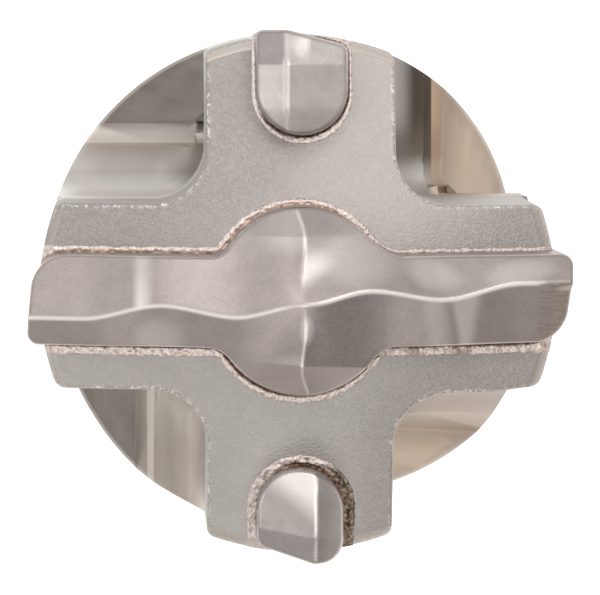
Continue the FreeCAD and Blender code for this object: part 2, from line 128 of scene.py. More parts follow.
def sine(value):
    """The sine of an array or of a flow."""
    return value.reckon("SINE", value) if hasattr(value, "reckon") else np.sin(value)


corner = joined(np.array(0.0), np.array(0.0), 1.0)
print("a hollow corner of 1 mm moves the outline by %.3f mm" % -float(corner))

# %% [markdown]
# A grid is laid over the outline. Points near the outline are pulled onto it, so that the border is smooth
# however coarse the grid is. Four neighbours make a face, and three make the triangle that closes a slanted
# border.

# %% A grid that ends on the outline
def border_grid(outline, step, reach):
    """The grid's points in mm, those near the outline pulled onto it, and which of them are kept."""
    (low_x, high_x), (low_y, high_y) = reach
    across, along = np.arange(low_x, high_x + step, step), np.arange(low_y, high_y + step, step)
    x, y = np.meshgrid(across, along, indexing="ij")
    near = 0.55 * step
    nudge = 0.01
    kept = outline(x, y) < near
    for _ in range(3):
        distance = outline(x, y)
        slope_x = (outline(x + nudge, y) - outline(x - nudge, y)) / (2 * nudge)
        slope_y = (outline(x, y + nudge) - outline(x, y - nudge)) / (2 * nudge)
        close = kept & (np.abs(distance) < near)
        x = np.where(close, x - distance * slope_x, x)
        y = np.where(close, y - distance * slope_y, y)
    return x, y, kept


def faces_of(kept):
    """The faces between kept points, as lists of their numbers."""
    number = np.full(kept.shape, -1)
    number[kept] = np.arange(kept.sum())
    corners = np.stack([number[:-1, :-1], number[1:, :-1], number[1:, 1:], number[:-1, 1:]], axis=-1)
    corners = corners.reshape(-1, 4)
    held = (corners >= 0).sum(axis=1)
    triangles = [[point for point in face if point >= 0] for face in corners[held == 3].tolist()]
    return corners[held == 4].tolist() + triangles


disc = border_grid(lambda x, y: np.hypot(x, y) - 1, 0.1, ((-1.2, 1.2), (-1.2, 1.2)))
print("a disc of 1 mm radius on a grid of 0.1 mm has", len(faces_of(disc[2])), "faces")

# %% [markdown]
# A roof alone is a thin sheet. Its border is drawn down into walls and closed by a floor, as an extrusion
# would be. The steel head widens towards its foot, so its walls and the braze in them may flare.

# %% Walls and floor
def draw_down(mesh, foot, flare):
    """Draws the border of a mesh down to its foot, in mm, and closes it there."""
    work = bmesh.new()
    work.from_mesh(mesh)
    loose = [vertex for vertex in work.verts if not vertex.link_faces]
    bmesh.ops.delete(work, geom=loose, context="VERTS")
    rim = [edge for edge in work.edges if edge.is_boundary]
    drawn = bmesh.ops.extrude_edge_only(work, edges=rim)["geom"]
    for vertex in (item for item in drawn if isinstance(item, bmesh.types.BMVert)):
        if flare:
            vertex.co.xy = flare(vertex.co.x / MM, vertex.co.y / MM)
        vertex.co.z = foot * MM
    low_rim = [item for item in drawn if isinstance(item, bmesh.types.BMEdge)]
    bmesh.ops.triangle_fill(work, edges=low_rim, use_beauty=True, use_dissolve=False)
    bmesh.ops.recalc_face_normals(work, faces=work.faces)
    work.to_mesh(mesh)
    work.free()


print("borders can be drawn down into walls")

# %% [markdown]
# Every grid point is lifted to the roof, and the walls follow. Sharp edges keep a hard look, and everything
# else is shaded smooth. Weighted normals let the large faces rule that shading, so a flat wall looks flat
# beside a rounded edge.

# %% From an outline and a roof to a piece
def placed(name, mesh, sharp, weighed=True):
    """A piece that rides on the bit. Its edges look hard where they turn by more than `sharp` degrees."""
    for polygon in mesh.polygons:
        polygon.use_smooth = True
    mesh.set_sharp_from_angle(angle=math.radians(sharp))
    made = bpy.data.objects.new(name, mesh)
    bpy.context.collection.objects.link(made)
    if weighed:
        modifier = made.modifiers.new("weighed_normals", "WEIGHTED_NORMAL")
        modifier.keep_sharp = True
        modifier.mode = "FACE_AREA_WITH_ANGLE"
    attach(made, "root")
    print("%s: %d faces" % (name, len(mesh.polygons)))
    return made


def solid_under(name, outline, roof, step, reach, foot, sharp=50, weighed=True, flare=None):
    """A closed piece, in mm: outline(x, y) is its plan, roof(x, y, depth) its top and foot its floor."""
    x, y, kept = border_grid(outline, step, reach)
    z = roof(x, y, np.maximum(-outline(x, y), 0))
    points = np.stack([x[kept], y[kept], z[kept]], axis=1) * MM
    mesh = bpy.data.meshes.new(name)
    mesh.from_pydata(points.tolist(), [], faces_of(kept))
    draw_down(mesh, foot, flare)
    return placed(name, mesh, sharp, weighed)


print("pieces can be made from an outline and a roof")

# %% [markdown]
# A material can only follow the shape if the mesh tells it where it is. `mark` writes one number on every
# point of a piece, such as its distance from an edge, and the material reads that number by its name.

# %% Numbers for the materials
def mark(piece, name, rule):
    """Keeps rule(x, y, z) in mm on the points of a piece."""
    mesh = piece.data
    place = np.empty(3 * len(mesh.vertices))
    mesh.vertices.foreach_get("co", place)
    kept = mesh.attributes.new(name, "FLOAT", "POINT")
    kept.data.foreach_set("value", rule(*(place.reshape(-1, 3).T / MM)).astype(np.float32))


print("pieces can carry numbers for their materials")

# %% [markdown]
# The long plate is pressed and ground carbide: two wings, slightly relieved behind their cutting corners,
# and a round boss between them. Its sizes are the model's, save the boss, which is a little smaller. The
# seat in the steel has the same plan, moved out by a gap that closes at the upper right, so one function
# draws both.

# %% Plan of the plate
CUT_R = 12.85
HALF_PLATE = 2.1
INSIDE = 0.02
CUTTING_CORNER, RELIEVED_CORNER = 0.6, 1.5
END_LEAN = 0.35 / (2 * HALF_PLATE)
BOSS_R = 4.4
BOSS_SQUEEZE = 1.05
HOLLOWS = ((0.4, 0.6), (1.0, 0.55))
GAP_CLOSES = (0.5, 4)


def wing_sides(x, y, gaps):
    """The long sides of the wings, moved out by the upper and the lower gap."""
    upper_gap, lower_gap = gaps[0] * (1 - 0.6 * eased(x, *GAP_CLOSES)), gaps[1]
    return np.maximum(y - HALF_PLATE - upper_gap, -y - HALF_PLATE - lower_gap)


def plate_outline(x, y, wing_gaps=(0.0, 0.0), boss_gaps=(0.0, 0.0)):
    """The plan of the plate. The gaps move its sides out, for the seat round it, less at the upper right."""
    side = wing_sides(x, y, wing_gaps)
    end = np.maximum(x + (HALF_PLATE - y) * END_LEAN, -x + (HALF_PLATE + y) * END_LEAN) - CUT_R + INSIDE
    end = end / math.hypot(1, END_LEAN)
    wings = np.where(x * y > 0, common(side, end, CUTTING_CORNER), common(side, end, RELIEVED_CORNER))
    upper_gap, lower_gap = boss_gaps[0] * (1 - 0.5 * eased(x, *GAP_CLOSES)), boss_gaps[1]
    grown = (upper_gap + lower_gap) / 2
    boss = np.hypot(BOSS_SQUEEZE * x, y - (upper_gap - lower_gap) / 2) - BOSS_R - grown
    left_hollow, right_hollow = (np.where(y > 0, *pair) for pair in HOLLOWS)
    hollow = np.where(x < 0, left_hollow, right_hollow)
    return joined(wings, boss / ((1 + BOSS_SQUEEZE) / 2), np.maximum(hollow - grown, 0.1))


print("the plate is %.1f mm wide and %.1f mm thick" % (2 * CUT_R, 2 * HALF_PLATE))

# %% [markdown]
# Two lines lead over the plate. The crest of the wings swings out, back and out again on its way to each
# corner. `WAVE` holds the turning points of that swing, and easing from one to the next gives the same soft
# line on both wings. The cross ridge of the boss bends less. The material needs both lines again, so the
# functions are written for arrays and for flows.

# %% Lines on the plate
WAVE = ((0.0, 0.0), (3.1, 0.58), (6.5, 0.11), (10.2, 0.78))
BEND_FROM, BEND_PERIOD, BEND_SWING, BEND_AWAY = 2.05, 3.8, 0.07, 0.24


def wave(x):
    """The swing of the crest at x, eased from one knot to the next, the same on both wings."""
    steps = zip(WAVE, WAVE[1:])
    swing = sum(eased(abs(x), start, end) * (high - low) for (start, low), (end, high) in steps)
    return swing * (eased(x, -0.01, 0.01) * 2 - 1)


def cross_bend(y):
    """The cross ridge swings a little to and fro, and away at its ends, the same after half a turn."""
    away = abs(y)
    swing = sine((away - BEND_FROM) * (2 * math.pi / BEND_PERIOD)) * BEND_SWING
    bend = swing - eased(away, 3.1, 4.6) * BEND_AWAY
    return bend * eased(away, 0, 0.6) * (eased(y, -0.01, 0.01) * 2 - 1)


print("the crest swings by up to %.2f mm" % max(high for _, high in WAVE))

# %% [markdown]
# The top of the plate has two ground flanks on each wing, which meet in the crest, and two beside the cross
# ridge. The higher one counts, and a soft valley joins them. Crest and ridge meet in the centring tip. Each
# ridge has a narrow land, and both ends of the boss are broken by a steeper facet.

# %% Carbide plate
APEX = TIP / MM
PLATE_FOOT = APEX - 15
FALL, LEAD, TRAIL, BREAK = (math.tan(math.radians(angle)) for angle in (17, 31, 27, 38))
CREST_LAND, CROSS_LAND = 0.10, 0.09
CREST_SOFT = 0.8
CROSS_DROP, CROSS_FALL, CROSS_FLANK, CROSS_TWIST = 0.10, 0.385, 0.46, 0.10
BROKEN_UP, BROKEN_DOWN, BROKEN_LEAN = 3.05, 2.85, 0.07
BROKEN_FALL, BROKEN_SOFT = 0.42, 0.05
VALLEY = 0.22
FACET_LENGTH, FACET_FALL = 1.15, 0.35
PLATE_ROUND = 0.13
PLATE_STEP = 0.055


def land(aside, half_width):
    """The distance from a ridge line, with a narrow flat land along the ridge."""
    return (aside ** 4 + half_width ** 4) ** 0.25 - half_width


def beyond(distance, soft):
    """How far a point lies past a line, with a soft start."""
    return np.hypot(np.maximum(distance, 0), soft) - soft


def plate_roof(x, y, depth):
    """The flanks of the wings, the cross ridge of the boss with its broken ends, and soft edges."""
    crest = APEX - FALL * (np.hypot(x, CREST_SOFT) - CREST_SOFT)
    aside = y - wave(x)
    slope = (LEAD + TRAIL) / 2 + (LEAD - TRAIL) / 2 * np.tanh(x / CREST_SOFT) * np.sign(aside)
    broken = beyond(np.abs(y) - np.where(y > 0, BROKEN_UP, BROKEN_DOWN + BROKEN_LEAN * x), BROKEN_SOFT)
    wings = crest - slope * land(aside, CREST_LAND) - (BREAK - slope) * broken
    across = x - cross_bend(y)
    flank = CROSS_FLANK - CROSS_TWIST * np.tanh(across / 0.3) * np.sign(y)
    cross = APEX - CROSS_DROP - CROSS_FALL * np.abs(y) - flank * land(across, CROSS_LAND)
    cross = cross - BROKEN_FALL * broken
    trailing_end = np.clip((0.7 - y) / 0.3, 0, 1) * (x > 0)
    facet = np.maximum(np.hypot(x, y) - (CUT_R - FACET_LENGTH), 0) * trailing_end
    top = softest(wings, cross, VALLEY) - FACET_FALL * facet
    return np.minimum(top, APEX) - INSIDE - rounding(depth, PLATE_ROUND)


PLATE_REACH = ((-13.0, 13.0), (-4.8, 4.8))
plate = solid_under("carbide_plate_ground", plate_outline, plate_roof, PLATE_STEP, PLATE_REACH, PLATE_FOOT)
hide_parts("carbide_plate")
mark(plate, "rim", lambda x, y, z: -plate_outline(x, y))

# %% [markdown]
# The side pins are short carbide bars with a round inner end. They cut between the wings of the plate. Their
# end is cut back on the trailing side. The lower pin is turned by half a turn, so both are written as if
# they stood in the upper arm, and `turned` brings the lower one to its place.

# %% Plan of a pin
PIN_END, LEAN_FROM = 12.58, -0.6
PIN_SHAPES = {
    "upper_pin": {"half": 2.18, "shift": 0.09, "center": 9.83, "lean": 0.25, "corners": (0.35, 0.35),
                  "broken": (10.92, 0.0), "whole_side": 1},
    "lower_pin": {"half": 2.05, "shift": 0.0, "center": 10.10, "lean": 0.30, "corners": (1.15, 0.4),
                  "broken": (11.24, 0.15), "whole_side": -1},
}
PIN_WAYS = {"upper_pin": 1, "lower_pin": -1}


def pin_plan(shape):
    """The plan of a pin: round inside, with a leaning end and two corners of their own radius."""
    def outline(x, y):
        bar = np.abs(x - shape["shift"]) - shape["half"]
        sloped = (y + (x - LEAN_FROM) * shape["lean"] - PIN_END) / math.hypot(1, shape["lean"])
        end = np.maximum(y - PIN_END, sloped)
        leading, trailing = shape["corners"]
        outer = np.where(x > 0, common(bar, end, trailing), common(bar, end, leading))
        inner = np.hypot(x - shape["shift"], y - shape["center"]) - shape["half"]
        return np.where(y < shape["center"], inner, outer)
    return outline


def turned(function, way):
    """The same plan or roof, as drawn where way is 1, and turned by half a turn where it is -1."""
    return lambda x, y, *rest: function(way * x, way * y, *rest)


PIN_OUTLINES = {name: turned(pin_plan(shape), PIN_WAYS[name]) for name, shape in PIN_SHAPES.items()}
print("the pins are", " and ".join("%.2f mm" % (2 * shape["half"]) for shape in PIN_SHAPES.values()), "wide")

# %% [markdown]
# A pin's ridge lies nearer the leading side, so that flank is steeper. The ridge drops at the inner end. At
# the rim a facet breaks mostly the steep flank of the upper pin, and the gentle flank of the lower one.

# %% Side pins
PIN_RIDGE = APEX - 4.1
PIN_FOOT = PIN_RIDGE - 10.15
PIN_STEEP, PIN_GENTLE = math.tan(math.radians(34)), math.tan(math.radians(22))
PIN_LAND, PIN_ROUND = 0.11, 0.22
RIDGE_ASIDE, RIDGE_SWING = 0.60, 0.10
BREAK_AT = 0.7
OUTER_FALL, OUTER_EASE, INNER_FALL = 0.42, 0.20, 0.30
PIN_STEP = 0.06


def pin_aside(x, y):
    """How far a point lies to the right of the pin's ridge, which bends slightly."""
    return x + RIDGE_ASIDE + sine((y - 9.9) / 3 + math.pi / 2) * RIDGE_SWING


def pin_top(shape):
    """Two flanks beside a ridge that drops at both ends. Near the rim one of them is broken by a facet."""
    def roof(x, y, depth):
        aside = pin_aside(x, y)
        slope = np.where(aside < 0, PIN_STEEP, PIN_GENTLE)
        level, tilt = shape["broken"]
        outer = beyond(y + (x + BREAK_AT) * tilt - level, BROKEN_SOFT)
        inner = beyond(shape["center"] - 0.8 - y, 0.3)
        fall = OUTER_FALL - OUTER_EASE * eased(aside * shape["whole_side"], 0.0, 1.2)
        top = PIN_RIDGE - slope * land(aside, PIN_LAND) - fall * outer - INNER_FALL * inner
        return top - rounding(depth, PIN_ROUND)
    return roof


def reach_of_arm(half_width, inner, outer, way):
    """The stretch of x and y round a pin, given for the upper arm."""
    return (-half_width, half_width), sorted((way * inner, way * outer))


PINS = {}
for name, shape in PIN_SHAPES.items():
    pin_reach = reach_of_arm(2.5, 7.4, 13.0, PIN_WAYS[name])
    pin_roof = turned(pin_top(shape), PIN_WAYS[name])
    PINS[name] = solid_under(name + "_ground", PIN_OUTLINES[name], pin_roof, PIN_STEP, pin_reach, PIN_FOOT)
    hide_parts(name)
    mark(PINS[name], "rim", lambda x, y, z: -PIN_OUTLINES[name](x, y))

# %% [markdown]
# The carbide stands in seats that are cut into the steel. The plate's seat is a slot across the whole head
# with a round middle, and the pins' seats are open at the rim. All are a little wider than the carbide, and
# the braze fills the difference.

# %% Seats of the carbide
WING_GAPS = (0.20, 0.56)
BOSS_GAPS = (0.20, 0.46)
SEAT_SHAPES = {
    "upper_pin": {"half": 2.32, "shift": 0.14, "center": 9.62},
    "lower_pin": {"half": 2.48, "shift": -0.07, "center": 10.10},
}


def plate_seat(x, y):
    """The slot is open at both ends, and round in the middle."""
    return np.minimum(wing_sides(x, y, WING_GAPS), plate_outline(x, y, WING_GAPS, BOSS_GAPS))


def seat_plan(shape):
    """A pin's seat, open at the rim."""
    def seat(x, y):
        bar = np.maximum(np.abs(x - shape["shift"]) - shape["half"], shape["center"] - y)
        return np.minimum(bar, np.hypot(x - shape["shift"], y - shape["center"]) - shape["half"])
    return seat


PIN_SEATS = {name: turned(seat_plan(shape), PIN_WAYS[name]) for name, shape in SEAT_SHAPES.items()}
print("seats:", 1 + len(PIN_SEATS))

# %% [markdown]
# The steel head is a cross of four arms, forged and then milled. Its outline is two crossing bars with
# hollow corners, trimmed by the turned rim, less the seats. Blasting wore the right-hand sides of the arms a
# little, which a small shift of the bars shows.

# %% Outline of the steel head
HALF_ARM = 4.4
ARM_HOLLOW = 2.6
HEAD_R = CUT_R - 0.5
HEAD_CORNER = 0.35
WORN_UPPER, WORN_LOWER = (0.16, -0.12), (0.08, -0.26)


def worn_by(x, y):
    """How far the arms' sides lie beside the model's, in x and y: a little, and only at the right."""
    upper, lower = eased(y, 1, 5), eased(-y, 1, 5)
    aside_x = eased(x, 1.5, 4) * (WORN_UPPER[0] * upper + WORN_LOWER[0] * lower)
    aside_y = eased(x, 3, 6) * (WORN_UPPER[1] * upper + WORN_LOWER[1] * lower * (1 - eased(x, 8.5, 12)))
    return aside_x, aside_y


def arms_outline(x, y):
    """The cross of arms, as if it had no seats."""
    aside_x, aside_y = worn_by(x, y)
    cross = joined(np.abs(x - aside_x) - HALF_ARM, np.abs(y - aside_y) - HALF_ARM, ARM_HOLLOW)
    return common(cross, np.hypot(x, y) - HEAD_R, HEAD_CORNER)


def head_outline(x, y):
    """The cross of arms without its seats."""
    seats = np.minimum(PIN_SEATS["upper_pin"](x, y), PIN_SEATS["lower_pin"](x, y))
    return np.maximum(arms_outline(x, y), -np.minimum(plate_seat(x, y), seats))


print("the steel head is %.1f mm wide" % (2 * HEAD_R))

# %% [markdown]
# The face of the head is a flat cone with a chamfered rim. Its walls widen a little on the way down to the
# level where the model's own mesh goes on, and there they lie where the model's walls do.

# %% Steel head
FACE_TOP = APEX - 3.8
CONE = math.tan(math.radians(15))
CHAMFER, CHAMFER_SOFT = 0.45, 0.08
FACE_ROUND = 0.12
SPLIT = APEX - 14.3
HEAD_FLARE, WALL_HEIGHT = 0.25, 11.6
FLARE_STARTS, FLARE_OVER = 0.7, 0.6
HEAD_SPAN = (-12.6, 12.6)
HEAD_STEP = 0.09


def face_levels(x, y):
    """The heights of the cone and of the chamfer. The lower one is the face."""
    radius = np.hypot(x, y)
    chamfer_starts = HEAD_R - CHAMFER
    return FACE_TOP - CONE * radius, FACE_TOP - CONE * chamfer_starts - (radius - chamfer_starts)


def head_roof(x, y, depth):
    """The cone, its chamfered rim, and the soft edge that blasting leaves."""
    cone, chamfer = face_levels(x, y)
    to_edge = np.maximum(-arms_outline(x, y), 0)
    return -softest(-cone, -chamfer, CHAMFER_SOFT) - rounding(to_edge, FACE_ROUND)


def flared_to(level):
    """Where a point of the border lies at a level: unworn, and farther out at the rim."""
    spread = HEAD_FLARE * (FACE_TOP - CONE * HEAD_R - level) / WALL_HEIGHT

    def moved(x, y):
        aside_x, aside_y = worn_by(x, y)
        x, y = x - float(aside_x), y - float(aside_y)
        radius = math.hypot(x, y)
        share = min(max((radius - HEAD_R + FLARE_STARTS) / FLARE_OVER, 0), 1)
        wider = 1 + spread * share / max(radius, 1)
        return (x * wider * MM, y * wider * MM)
    return moved


crown = solid_under("steel_crown", head_outline, head_roof, HEAD_STEP, (HEAD_SPAN, HEAD_SPAN), SPLIT,
                    flare=flared_to(SPLIT))
mark(crown, "rim", lambda x, y, z: -arms_outline(x, y))

# %% [markdown]
# Below the arms the model's own mesh goes on: the spiral, the neck and the shank. Its copy is cut off at
# one level, and the crown stands on the cut. The lands of the spiral have long thin faces, and a few more
# points on the turned radius keep them round.

# %% Spiral and shank
SPIRAL_R = CUT_R - 0.25
LONG_EDGE = 0.9
SPIRAL_SHARP = 22


def cut_off(work, level):
    """Removes what lies above a level in mm, and closes the cut."""
    everything = work.verts[:] + work.edges[:] + work.faces[:]
    plane = {"plane_co": (0, 0, level * MM), "plane_no": (0, 0, 1)}
    cut = bmesh.ops.bisect_plane(work, geom=everything, dist=1e-9, clear_outer=True, **plane)["geom_cut"]
    cut_edges = [item for item in cut if isinstance(item, bmesh.types.BMEdge)]
    bmesh.ops.triangle_fill(work, edges=cut_edges, use_beauty=True)


def is_long_on_land(edge):
    """Whether a long edge lies on the turned radius of the spiral."""
    on_radius = all(abs(vertex.co.xy.length - SPIRAL_R * MM) < 1e-6 for vertex in edge.verts)
    return on_radius and edge.calc_length() > LONG_EDGE * MM


def round_lands(work):
    """Halves the long edges of the lands and puts the new points on the turned radius."""
    on_land = [edge for edge in work.edges if is_long_on_land(edge)]
    halved = bmesh.ops.subdivide_edges(work, edges=on_land, cuts=1, use_grid_fill=False)["geom_inner"]
    for vertex in (item for item in halved if isinstance(item, bmesh.types.BMVert)):
        vertex.co.xy = vertex.co.xy.normalized() * SPIRAL_R * MM


body_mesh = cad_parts["bit_body"].data.copy()
body_mesh.name = "steel_spiral_and_shank"
work = bmesh.new()
work.from_mesh(body_mesh)
bmesh.ops.remove_doubles(work, verts=work.verts, dist=0.0005 * MM)
cut_off(work, SPLIT)
for _ in range(2):
    round_lands(work)
bmesh.ops.triangulate(work, faces=[face for face in work.faces if len(face.verts) > 3])
bmesh.ops.recalc_face_normals(work, faces=work.faces)
work.to_mesh(body_mesh)
work.free()
lower_steel = placed("steel_spiral_and_shank", body_mesh, SPIRAL_SHARP)
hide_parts("bit_body")
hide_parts("bit_body")

# %% [markdown]
# Braze froze as a rough bead in the gap round each piece of carbide. It is a narrow ring: from the
# carbide's wall to a little past the seat, where it crept over the steel. Its top is a random heap of
# grains, and Blender's own noise gives the same heap in every run. Beside the carbide the gap stayed open in
# places.

# %% Shape of a bead
from mathutils import noise as lumps

COARSE, FINE = 4.2, 9.0


def lumpy(x, y, scale, seed):
    """Smooth noise over the plan, between about -1 and 1."""
    values = [lumps.noise(Vector((a * scale + seed, b * scale, seed))) for a, b in zip(x.ravel(), y.ravel())]
    return np.array(values).reshape(x.shape)


def bead_plan(shape):
    """A ring between a seat and its carbide. How far it creeps out wanders by about a third."""
    def outline(x, y):
        outside = shape["carbide"](x, y)
        ring = np.maximum(shape["seat"](x, y), -outside)
        wander = 0.35 * np.sin(5.1 * x + 2 * np.sin(3.3 * y)) * np.sin(4.7 * y + 1.5 * np.sin(2.9 * x))
        trimmed = np.maximum(-outside - INSIDE, np.hypot(x, y) - HEAD_R)
        return np.maximum(ring - shape["creep"] * (1 + wander), trimmed)
    return outline


def bead_top(shape):
    """Coarse and fine grains over the face, thin where they creep out, hollow beside the carbide."""
    outline = bead_plan(shape)

    def roof(x, y, depth):
        grains = np.zeros(x.shape)
        near = outline(x, y) < shape["step"]
        seed = shape["seed"]
        coarse, fine = lumpy(x[near], y[near], COARSE, seed), lumpy(x[near], y[near], FINE, seed + 7)
        grains[near] = 0.6 * coarse + 0.4 * fine
        thin = np.clip((shape["creep"] - shape["seat"](x, y)) / (shape["creep"] + 0.05), 0, 1) ** 0.7
        gap_width, gap_depth = shape["gap"](x, y)
        hollow = 1 - eased(shape["carbide"](x, y) / gap_width, 0.4, 1)
        lift = shape["height"] * (0.30 + 1.2 * grains) + 0.02
        return np.minimum(*face_levels(x, y)) + lift * thin - gap_depth * hollow
    return roof


print("a bead creeps out with a rough edge")

# %% [markdown]
# Three beads fill three seats. Each has its own open gap: wide along the lower side of the plate, and closed
# where the braze rose to the carbide. The mesh keeps two numbers for the material: how high the grain
# stands, and how far it is from the carbide.

# %% Braze beads
def plate_gap(x, y):
    """Width and depth of the gap beside the plate: wide on the lower side, closed at the upper right."""
    return np.where(y < 0, 0.30, 0.14), np.where(y < 0, 0.16, 0.08 - 0.07 * np.clip(x / 3, 0, 1))


def upper_pin_gap(x, y):
    """The gap is closed on the left of the pin."""
    return 0.14, 0.14 * np.clip((x + 2.0) / 0.5, 0, 1)


def lower_pin_gap(x, y):
    """The gap is widest at the inner end, and its right side is one rough hollow."""
    return np.where(x > 1.2, 0.5, 0.2), 0.12 * np.clip((x + 1.2) / 0.6, 0, 1)


PLATE_BED = 0.15
BEAD_SHAPES = {
    "plate_bead": {
        "node": "plate_braze", "seat": plate_seat, "carbide": plate_outline, "gap": plate_gap,
        "reach": (HEAD_SPAN, (-5.5, 5.5)), "foot": PLATE_FOOT - PLATE_BED,
        "height": 0.12, "creep": 0.10, "step": 0.055, "seed": 3.0},
    "upper_pin_bead": {
        "node": "upper_pin_braze", "seat": PIN_SEATS["upper_pin"], "carbide": PIN_OUTLINES["upper_pin"],
        "gap": upper_pin_gap, "reach": reach_of_arm(3.2, 6.9, 12.6, 1), "foot": PIN_FOOT,
        "height": 0.08, "creep": 0.06, "step": 0.05, "seed": 11.0},
    "lower_pin_bead": {
        "node": "lower_pin_braze", "seat": PIN_SEATS["lower_pin"], "carbide": PIN_OUTLINES["lower_pin"],
        "gap": lower_pin_gap, "reach": reach_of_arm(3.2, 6.9, 12.6, -1), "foot": PIN_FOOT,
        "height": 0.12, "creep": 0.10, "step": 0.05, "seed": 19.0},
}
BEADS = []
for name, shape in BEAD_SHAPES.items():
    bead = solid_under(name, bead_plan(shape), bead_top(shape), shape["step"], shape["reach"], shape["foot"],
                       sharp=180, weighed=False, flare=flared_to(shape["foot"]))
    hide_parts(shape["node"])
    mark(bead, "stands", lambda x, y, z: z - FACE_TOP + CONE * np.hypot(x, y))
    mark(bead, "away", lambda x, y, z: shape["carbide"](x, y))
    BEADS.append(bead)

# %% [markdown]
# Materials are written as arithmetic. Python lets a class say what its plus and its minus do, and here they
# add a Math node. Each operator has a second form with its sides swapped, for a number on the left, as in
# 1 - mask.

# %% Operators that add nodes
def operator(operation):
    """The two methods that make one of Python's operators add a Math node."""
    def as_written(self, other):
        return self.reckon(operation, self, other)

    def swapped(self, other):
        return self.reckon(operation, other, self)
    return as_written, swapped


print("an operator has", len(operator("ADD")), "forms")

# %% [markdown]
# A `Flow` is one value on its way through a material. Adding or multiplying flows adds the Math nodes that
# do it, so a mask reads like a formula. Any other node comes from the one method `node`.

# %% Arithmetic on sockets
class Flow:
    """A socket of a material, with the arithmetic that adds nodes behind it."""

    def __init__(self, socket):
        self.socket = socket
        self.tree = socket.id_data

    def node(self, kind, settings, sockets, output=0):
        """Adds a node: its settings first, then the values or links of its sockets."""
        made = self.tree.nodes.new(kind)
        for name, value in settings.items():
            setattr(made, name, value)
        for name, value in sockets.items():
            if isinstance(value, Flow):
                self.tree.links.new(value.socket, made.inputs[name])
            else:
                made.inputs[name].default_value = value
        return Flow(made.outputs[output])

    def reckon(self, operation, *values):
        """One Math node on the given flows and numbers."""
        return self.node("ShaderNodeMath", {"operation": operation}, dict(enumerate(values)))

    __add__, __radd__ = operator("ADD")
    __sub__, __rsub__ = operator("SUBTRACT")
    __mul__, __rmul__ = operator("MULTIPLY")
    __truediv__, __rtruediv__ = operator("DIVIDE")
    __pow__, __rpow__ = operator("POWER")

    def __neg__(self):
        return self.reckon("MULTIPLY", self, -1)

    def __abs__(self):
        return self.reckon("ABSOLUTE", self)

    def ramp(self, low, high):
        """0 below low, 1 above high, and a soft step between them."""
        settings = {"interpolation_type": "SMOOTHSTEP"}
        return self.node("ShaderNodeMapRange", settings, {"Value": self, "From Min": low, "From Max": high})

    def fade(self, low, high):
        """1 below low, 0 above high, and a soft step between them."""
        return 1 - self.ramp(low, high)

    def larger(self, other):
        """The larger of two flows."""
        return self.reckon("MAXIMUM", self, other)

    def within(self, low, high, soft):
        """1 between low and high, with soft borders."""
        return self.ramp(low - soft, low + soft) * self.fade(high - soft, high + soft)


print("shader arithmetic is ready")

# %% [markdown]
# Colours can't go through a Math node, which would turn them grey. `blend` is one Mix node, and `layered`
# lays one colour after another over a base, as a painter does with glazes.

# %% Mixing colours
def blend(mask, first, second):
    """Mixes two colours by a mask: 0 gives the first, 1 the second. Sockets 6 and 7 take the colours."""
    start = next(value for value in (mask, first, second) if isinstance(value, Flow))
    colours = {6: first, 7: second}
    for index, value in colours.items():
        if not isinstance(value, Flow):
            colours[index] = (*value, 1)
    return start.node("ShaderNodeMix", {"data_type": "RGBA"}, {0: mask, **colours}, output=2)


def layered(base, *layers):
    """Lays colours over a base, each one given as its mask and its colour."""
    for mask, colour in layers:
        base = blend(mask, base, colour)
    return base


print("colours can be mixed and laid over one another")

# %% [markdown]
# Every material starts in the same way: a Principled shader, and the place of the shaded point in
# millimetres. Grain then has a size that can be read off the photograph.

# %% A new material
def first_flow(tree, kind, output):
    """The start of a formula: one output of a node that needs no input."""
    return Flow(tree.nodes.new(kind).outputs[output])


def new_material(name, **constants):
    """A material with one Principled shader. Returns it with its shader and the place in mm."""
    material = bpy.data.materials.new(name)
    material.use_nodes = True
    tree = material.node_tree
    shader = tree.nodes["Principled BSDF"]
    for socket, value in constants.items():
        shader.inputs[socket.replace("_", " ")].default_value = value
    metres = first_flow(tree, "ShaderNodeTexCoord", "Object")
    place = metres.node("ShaderNodeVectorMath", {"operation": "SCALE"}, {0: metres, "Scale": 1 / MM})
    return material, shader, place


def dress(pieces, material, shader, **flows):
    """Links flows to the sockets of the shader, and gives the material to the pieces."""
    for name, flow in flows.items():
        flow.tree.links.new(flow.socket, shader.inputs[name.replace("_", " ")])
    for piece in pieces:
        piece.data.materials.clear()
        piece.data.materials.append(material)
    print("%s: %d nodes, on %d pieces" % (material.name, len(material.node_tree.nodes), len(pieces)))


print("materials can be started and put on pieces")

# %% [markdown]
# The masks of a finish ask where a point lies, which way its surface faces, and how grainy it is there. The
# grain also bends the light a little, through a bump.

# %% Place, grain and bumps
def parts_of(vector):
    """The three numbers of a vector, each as a flow."""
    split = vector.node("ShaderNodeSeparateXYZ", {}, {0: vector})
    return tuple(Flow(output) for output in split.socket.node.outputs)


def facing_up(place):
    """How far the surface faces up: 1 on level ground, 0 on a wall."""
    return parts_of(first_flow(place.tree, "ShaderNodeNewGeometry", "Normal"))[2]


def noise(place, scale, detail=4.0, roughness=0.5, stretch=(1, 1, 1)):
    """Noise with about `scale` grains to the millimetre."""
    stretched = place.node("ShaderNodeVectorMath", {"operation": "MULTIPLY"}, {0: place, 1: stretch})
    sockets = {"Vector": stretched, "Scale": scale, "Detail": detail, "Roughness": roughness}
    return stretched.node("ShaderNodeTexNoise", {}, sockets)


def read(place, name):
    """A number that `mark` wrote on the mesh."""
    return place.node("ShaderNodeAttribute", {"attribute_name": name}, {}, output="Fac")


def bumped(height, depth_mm):
    """A normal that is bent by a height."""
    return height.node("ShaderNodeBump", {}, {"Height": height, "Distance": depth_mm * MM, "Strength": 1.0})


print("helpers for grain and bumps are ready")

